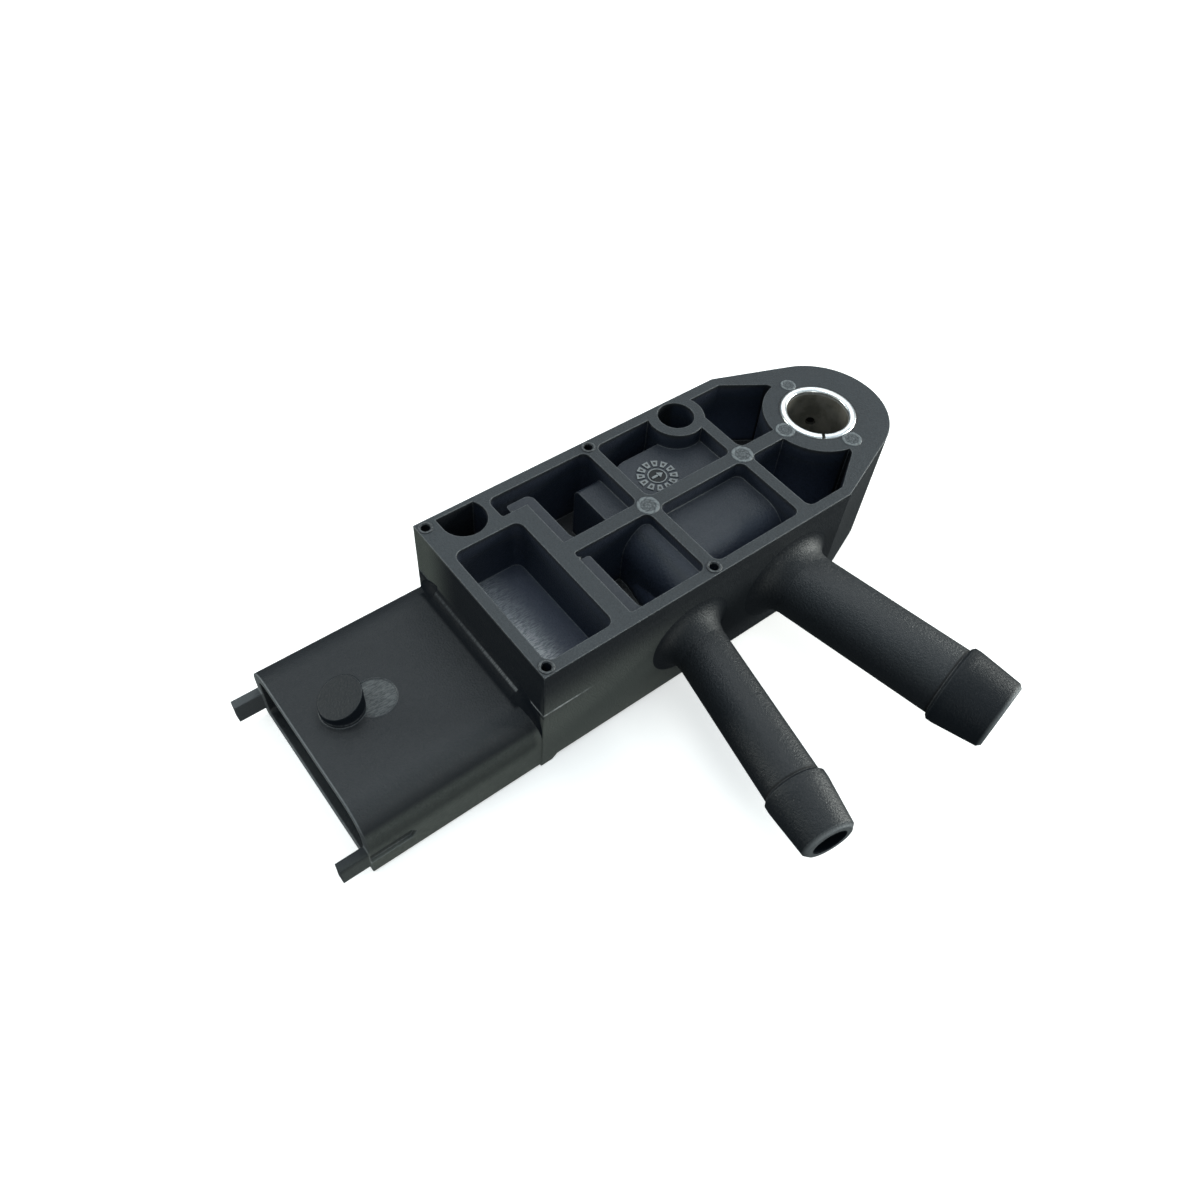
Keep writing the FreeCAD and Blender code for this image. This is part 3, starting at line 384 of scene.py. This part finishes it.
def nippleDetails(name):
    size = nippleSizes[name]
    turn = math.radians(size["splay"])

    def details(x, y, z, place, fine, colour, rough, sockets):
        # Painted shade in the crease where the barb starts, a paler ring at the tip and pale speckles on the
        # barb.
        along = (x - size["root"][0]) * math.sin(turn) - (y - size["root"][1]) * math.cos(turn)
        creaseShade = 1.0 - (along - size["barb"] + 0.1).math("ABSOLUTE").ramp(0.08, 0.22)
        tip = along.ramp(size["length"] - 0.45, size["length"] - 0.05)
        barbSpeckle = (along.ramp(size["barb"], size["barb"] + 1.6) * fine.ramp(0.45, 0.75)) * 0.05
        colour = creaseShade.mix(colour, (0.001, 0.001, 0.0015))
        colour = (tip * 0.9 + barbSpeckle).clip().mix(colour, plasticLook["edge"])
        across = (x - size["root"][0]) * math.cos(turn) + (y - size["root"][1]) * math.sin(turn)
        up = z - size["root"][2]
        bore = 1.0 - (across * across + up * up).math("SQRT").ramp(size["bore"] + 0.02, size["bore"] + 0.14)
        barb = along.ramp(size["barb"], size["barb"] + 0.4) * (1.0 - tip)
        # Painted shade: dead black in the bores and, by each nipple's share, on its shaft and barb.
        sockets["Matte"] = ((1.0 - barb) * size["shaftShade"] + barb * (size["barbShade"] + fine * 0.25)
                            + bore * 0.85).clip()
        return colour, rough + creaseShade * 0.3 - 0.06

    return details


def plainPlastic(place):
    fine = place.noise(plasticLook["fineScale"], 3.0)
    colour = fine.mix(plasticLook["black"], plasticLook["grey"])
    return {"Base Color": colour, "Roughness": 0.48 + fine * 0.1, "Normal": bump(fine, 0.01, 0.5)}


def darkPlastic(place):
    fine = place.noise(6.0, 3.0)
    return {"Base Color": fine.mix((0.002, 0.003, 0.004), (0.006, 0.007, 0.009)),
            "Roughness": 0.65 + fine * 0.1, "Normal": bump(fine, 0.01)}


def crushedPlastic(place):
    # Pale, crumpled plastic of the ejector and gate marks, brightest on its crests.
    fine = place.noise(4.0, 4.0, 0.7)
    crest = place.axes()[2].ramp(bodySizes["top"] + 0.01, bodySizes["top"] + 0.07)
    colour = (crest * 0.8 + fine.ramp(0.4, 0.7) * 0.35).clip().mix((0.016, 0.020, 0.024), (0.150, 0.165, 0.170))
    return {"Base Color": colour, "Roughness": 0.4 + fine * 0.2, "Normal": bump(fine, 0.05)}


def reliefPlastic(place):
    # Bright in specks on top and dark between.
    fine = place.noise(5.0, 3.0, 0.6)
    z = place.axes()[2]
    crest = z.ramp(bodySizes["top"] + 0.05, bodySizes["top"] + 0.10) * fine.ramp(0.3, 0.7)
    colour = crest.mix((0.006, 0.007, 0.009), (0.080, 0.088, 0.092))
    return {"Base Color": colour, "Roughness": 0.4 + fine * 0.15, "Normal": bump(fine, 0.02)}


def dialPlastic(place):
    # Twelve cells with a bright outline and a dark middle, and a bright pointer.
    x, y, z = place.axes()
    fine = place.noise(6.0, 3.0, 0.6)
    out = distanceTo(x, y, dial["centre"])
    turn = (y - dial["centre"][1]).math("ARCTAN2", x - dial["centre"][0]) * (dial["segments"] / (2 * math.pi))
    aside = (turn - turn.math("ROUND")).math("ABSOLUTE")
    middle = dial["inner"] * 0.5 + dial["radius"] * 0.5
    cell = (1.0 - aside.ramp(0.12, 0.18)) * (1.0 - (out - middle).math("ABSOLUTE").ramp(0.15, 0.22))
    crest = z.ramp(bodySizes["platform"] + 0.03, bodySizes["platform"] + 0.08) * (1.0 - cell)
    colour = (crest * (0.35 + fine * 0.9)).clip().mix((0.003, 0.004, 0.005), (0.230, 0.245, 0.250))
    return {"Base Color": colour, "Roughness": 0.4 + fine * 0.15, "Normal": bump(fine, 0.02)}


steelLook = {"dimple": (2.55, 2.38, 10.1)}


def rolledSteel(place):
    # Bright plated strip with fine lines along the bush, a brown film down the bore, and painted shade in the
    # dimple.
    lines = place.vector("MULTIPLY", (6.0, 6.0, 0.4)).noise(2.0, 3.0)
    stain = place.noise(0.6, 3.0)
    glowAndFilm = 1.0 - place.axes()[2].ramp(13.7, 14.15)
    clean = stain.ramp(0.4, 0.7).mix((0.86, 0.87, 0.88), (0.74, 0.74, 0.72))
    dirty = stain.ramp(0.35, 0.7).mix((0.22, 0.20, 0.17), (0.12, 0.11, 0.09))
    hole = place.vector("DISTANCE", steelLook["dimple"], output="Value").ramp(0.50, 0.62)
    dirty = hole.mix((0.004, 0.004, 0.004), dirty)
    return {"Base Color": glowAndFilm.mix(clean, dirty), "Roughness": 0.22 + lines * 0.16 + glowAndFilm * 0.12,
            "Metallic": 1.0 - glowAndFilm * 0.75, "Normal": bump(lines, 0.008)}


def tinnedBronze(place):
    lines = place.vector("MULTIPLY", (0.3, 5.0, 5.0)).noise(2.0, 2.0)
    colour = lines.mix((0.74, 0.72, 0.67), (0.60, 0.58, 0.54))
    return {"Base Color": colour, "Roughness": 0.25 + lines * 0.15}


def siliconeBead(place):
    lumps = place.noise(2.0, 2.0)
    return {"Base Color": lumps.mix((0.10, 0.10, 0.11), (0.16, 0.16, 0.17)), "Normal": bump(lumps, 0.03)}


def firedCeramic(place):
    grain = place.noise(12.0, 2.0)
    return {"Base Color": grain.mix((0.80, 0.80, 0.77), (0.90, 0.90, 0.88)), "Normal": bump(grain, 0.004)}


def cellGlass(place):
    haze = place.noise(3.0, 2.0)
    return {"Base Color": haze.mix((0.80, 0.88, 0.84), (0.90, 0.95, 0.92))}


def polishedSilicon(place):
    grain = place.noise(6.0, 2.0)
    return {"Base Color": grain.mix((0.18, 0.19, 0.23), (0.26, 0.27, 0.32))}


def softGel(place):
    haze = place.noise(1.5, 2.0)
    return {"Base Color": haze.mix((0.70, 0.72, 0.68), (0.80, 0.81, 0.78)), "Normal": bump(haze, 0.02)}


def capacitorBody(place):
    ends = (place.axes()[0] + 27.4).math("ABSOLUTE").ramp(0.50, 0.56)
    grain = place.noise(9.0, 2.0)
    body = grain.mix((0.56, 0.43, 0.29), (0.64, 0.52, 0.38))
    return {"Base Color": ends.mix(body, (0.72, 0.72, 0.72)), "Metallic": ends}


def drawnAluminium(place):
    lines = place.noise(8.0, 2.0)
    return {"Base Color": lines.mix((0.78, 0.78, 0.79), (0.86, 0.86, 0.87))}


def dressFrame():
    plastic = makeMaterial("moulded_plastic", lambda place: mouldedPlastic(place, housingDetails))
    nipples = {name: makeMaterial(name + "_plastic",
                                  lambda place, name=name: mouldedPlastic(place, nippleDetails(name)))
               for name in nippleSizes}
    lid = makeMaterial("lid_plastic", plainPlastic)
    steel = makeMaterial("rolled_steel", rolledSteel)
    tin = makeMaterial("tinned_bronze", tinnedBronze, Metallic=1.0)
    bead = makeMaterial("silicone_bead", siliconeBead, Roughness=0.55)
    looks = {
        "housing": plastic, "mounting_bush": steel, **nipples,
        "cover_lid": lid, "gel_frame": lid, "signal_chip": lid, "lid_adhesive": bead,
        "carrier_adhesive": bead, "cell_adhesive": bead,
        "circuit_carrier": makeMaterial("fired_ceramic", firedCeramic, Roughness=0.45),
        "glass_pedestal": makeMaterial("cell_glass", cellGlass, Roughness=0.08, Alpha=0.5),
        "sensor_die": makeMaterial("polished_silicon", polishedSilicon, Roughness=0.15),
        "protective_gel": makeMaterial("soft_gel", softGel, Roughness=0.2),
    }
    for name in ("supply", "signal", "ground"):
        looks["terminal_" + name] = tin
        looks["bond_wire_" + name] = makeMaterial("aluminium_" + name, drawnAluminium, Metallic=1.0,
                                                  Roughness=0.3)
    for name in ("supply", "signal", "filter"):
        looks["capacitor_" + name] = makeMaterial("capacitor_" + name, capacitorBody, Roughness=0.4)
    for node, material in looks.items():
        dress(node, material)


# Small pieces. Each is made of rings of points, in millimetres, and rides on the housing's body.
def addRings(mesh, rings, closed=True):
    rows = [[mesh.verts.new(point(*place)) for place in ring] for ring in rings]
    for low, high in zip(rows, rows[1:]):
        count = len(low)
        for index in range(count if closed else count - 1):
            after = (index + 1) % count
            mesh.faces.new((low[index], low[after], high[after], high[index]))
    return rows


def addPiece(name, mesh, material):
    bmesh.ops.recalc_face_normals(mesh, faces=mesh.faces)
    data = bpy.data.meshes.new(name)
    mesh.to_mesh(data)
    mesh.free()
    data.shade_smooth()
    data.set_sharp_from_angle(angle=math.radians(38))
    data.materials.append(material)
    piece = bpy.data.objects.new(name, data)
    bpy.context.collection.objects.link(piece)
    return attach(piece, "root")


def ring(centre, radius, level, count, wobble=lambda angle: 0.0):
    angles = [2 * math.pi * step / count for step in range(count)]
    return [(centre[0] + radius * math.cos(angle), centre[1] + radius * math.sin(angle),
             level + wobble(angle)) for angle in angles]


def roundedRing(mesh, centre, inner, outer, level, height, count=40):
    # A raised ring with a round crest, sunk a little into the face below it.
    middle, rise = (inner + outer) / 2, height
    profile = [(inner, -0.02), (inner, rise * 0.5), (inner * 0.6 + middle * 0.4, rise * 0.92), (middle, rise),
               (outer * 0.6 + middle * 0.4, rise * 0.92), (outer, rise * 0.45), (outer, -0.02)]
    addRings(mesh, [ring(centre, radius, level + lift, count) for radius, lift in profile + profile[:1]])


marks = {
    # places in mm in plan, with radii
    "ejectors": [(-23.1, -0.1, 1.15), (-10.9, -0.1, 1.15), (-4.8, 0.0, 1.05), (0.0, -4.85, 1.05),
                 (0.4, 4.85, 0.85)],
    "height": 0.075,
    "pins": [(-41.7, 9.35), (-41.7, -9.35), (-23.0, 9.35), (-23.0, -9.35)],
    "pinInner": 0.47,
    "pinOuter": 0.74,
    "pinHeight": 0.10,
}


def addMarks(crushed, relief):
    for number, (x, y, radius) in enumerate(marks["ejectors"], start=1):
        mesh, level = bmesh.new(), bodySizes["top"]
        rings = []
        for share, lift in ((1.0, -0.3), (0.97, 0.45), (0.86, 1.0), (0.74, 0.8), (0.64, 0.25), (0.5, 0.45),
                            (0.36, 0.2), (0.2, 0.55), (0.08, 0.3)):
            def wobble(angle, lift=lift, share=share):
                waves = math.sin(7 * angle + number * 2 + share * 9) + math.sin(12 * angle + share * 21)
                return marks["height"] * lift * (1.0 + 0.28 * waves)
            rings.append(ring((x, y), radius * share, level, 48, wobble))
        rows = addRings(mesh, rings)
        mesh.faces.new(rows[-1])
        addPiece(f"ejector_mark_{number}", mesh, crushed)
    for number, centre in enumerate(marks["pins"], start=1):
        mesh = bmesh.new()
        roundedRing(mesh, centre, marks["pinInner"], marks["pinOuter"], bodySizes["top"], marks["pinHeight"])
        addPiece(f"pin_rim_{number}", mesh, relief)


dial = {
    "centre": (-18.55, 3.70), "radius": 2.15, "inner": 1.25, "hub": 1.02, "segments": 12, "height": 0.10,
    "gap": 0.16,
}


def addDial(relief, dark):
    # Moulding dial: twelve raised pads in a circle, a hub ring and a plain pointer.
    level, high = bodySizes["platform"], dial["height"]
    mesh = bmesh.new()
    for number in range(dial["segments"]):
        middle = 2 * math.pi * number / dial["segments"]
        spread = math.pi / dial["segments"] * (1 - dial["gap"] * 2)
        corners = []
        for radius, turn in ((dial["inner"], -spread), (dial["radius"], -spread * 1.05),
                             (dial["radius"], spread * 1.05), (dial["inner"], spread)):
            corners.append((dial["centre"][0] + radius * math.cos(middle + turn),
                            dial["centre"][1] + radius * math.sin(middle + turn)))
        addPad(mesh, corners, level, high)
    roundedRing(mesh, dial["centre"], dial["hub"] - 0.16, dial["hub"], level, high * 0.8)
    for shape in (((-0.70, -0.15), (0.10, -0.15), (0.10, 0.15), (-0.70, 0.15)),
                  ((0.10, -0.44), (0.76, 0.0), (0.10, 0.44))):
        addPad(mesh, [(dial["centre"][0] + x, dial["centre"][1] + y) for x, y in shape], level, high)
    addPiece("date_dial", mesh, relief)
    mesh = bmesh.new()
    rows = addRings(mesh, [ring(dial["centre"], dial["hub"] - 0.1, level - 0.02, 40),
                           ring(dial["centre"], dial["hub"] - 0.1, level + 0.02, 40)])
    mesh.faces.new(rows[1])
    addPiece("dial_hub", mesh, dark)


def addPad(mesh, corners, level, height):
    # A small flat pad whose top is drawn in a little.
    middle = [sum(values) / len(corners) for values in zip(*corners)]
    drawn = [(x * 0.88 + middle[0] * 0.12, y * 0.88 + middle[1] * 0.12) for x, y in corners]
    rows = addRings(mesh, [[(x, y, level - 0.02) for x, y in corners],
                           [(x, y, level + height) for x, y in drawn]])
    mesh.faces.new(rows[0])
    mesh.faces.new(rows[1])


fillets = {"height": 2.3, "reach": 1.9, "bury": 0.03, "rows": 12, "around": 72}


def addFillets(plastic):
    # The nipples run out into the wall in a smooth hollow curve.
    for name, size in nippleSizes.items():
        lean, mesh, rings = math.radians(size["splay"]), bmesh.new(), []
        for row in range(fillets["rows"] + 1):
            share = row / fillets["rows"]
            height = fillets["height"] * (1 - math.sqrt(1 - share * share)) if share < 1 else fillets["height"]
            reach = 1 - height / fillets["height"]
            radius = size["radius"] - fillets["bury"] + fillets["reach"] * (1 - math.sqrt(1 - reach * reach))
            centre = size["root"][0] + height * math.tan(lean)
            rings.append([(centre + radius * math.cos(angle) / math.cos(lean), size["root"][1] - height,
                           size["root"][2] + radius * math.sin(angle))
                          for angle in (2 * math.pi * step / fillets["around"]
                                        for step in range(fillets["around"]))])
        addRings(mesh, rings)
        addPiece(name + "_fillet", mesh, plastic)


def addCoveEnds(plastic):
    # The hollow at the foot of the end wall fades out round the shroud's two upper corners.
    for name, side in (("far", 1), ("near", -1)):
        mesh, rings = bmesh.new(), []
        for row in range(19):
            turn = math.radians(90 * row / 18)
            size = bodySizes["cove"] * (1 - row / 18) ** 1.2 + 0.05 * row / 18
            foot = bodySizes["cornerRadius"]
            profile = [(0.0, foot - 0.3), (size, foot - 0.3)]
            for step in range(9):
                angle = math.radians(90 * step / 8)
                profile.append((size * (1 - math.sin(angle)), foot + size * (1 - math.cos(angle))))
            rings.append([(bodySizes["end"] - out + 0.01,
                           side * (bodySizes["cornerCentre"][0] + reach * math.sin(turn)),
                           bodySizes["cornerCentre"][1] + reach * math.cos(turn)) for out, reach in profile])
        rows = addRings(mesh, rings)
        mesh.faces.new(rows[0])
        mesh.faces.new(rows[-1])
        addPiece(name + "_cove_end", mesh, plastic)


def floorLook(place):
    return {"Base Color": place.noise(0.002).mix((0.95, 0.93, 0.90), (0.97, 0.95, 0.92))}


def addFloor():
    mesh = bpy.data.meshes.new("floor")
    reach, level = 3.0, cadBox[0][2] - 0.02 * millimetre
    corners = [(-reach, -reach, level), (reach, -reach, level), (reach, reach, level), (-reach, reach, level)]
    mesh.from_pydata(corners, [], [(0, 1, 2, 3)])
    floor = bpy.data.objects.new("floor", mesh)
    bpy.context.collection.objects.link(floor)
    mesh.materials.append(makeMaterial("floor", floorLook, Roughness=0.9, Emission_Color=(1.0, 1.0, 1.0, 1.0),
                                       Emission_Strength=0.5))
    # The part isn't lit by the floor, as in a cut-out photograph.
    floor.visible_diffuse = floor.visible_glossy = False


addCamera()
addLights()
print("camera and lights")
dressFrame()
print("materials on the frame")
crushed = makeMaterial("crushed_plastic", crushedPlastic)
relief = makeMaterial("relief_plastic", reliefPlastic)
addMarks(crushed, relief)
dialRelief = makeMaterial("dial_plastic", dialPlastic)
addDial(dialRelief, makeMaterial("dial_dark", darkPlastic))
# Root fillets and cove ends get painted shade, the cove ends most.
addFillets(makeMaterial("root_plastic", shadedPlastic(0.15)))
addCoveEnds(makeMaterial("cove_plastic", shadedPlastic(0.75)))
print("marks, dial, root fillets and cove ends")
addFloor()
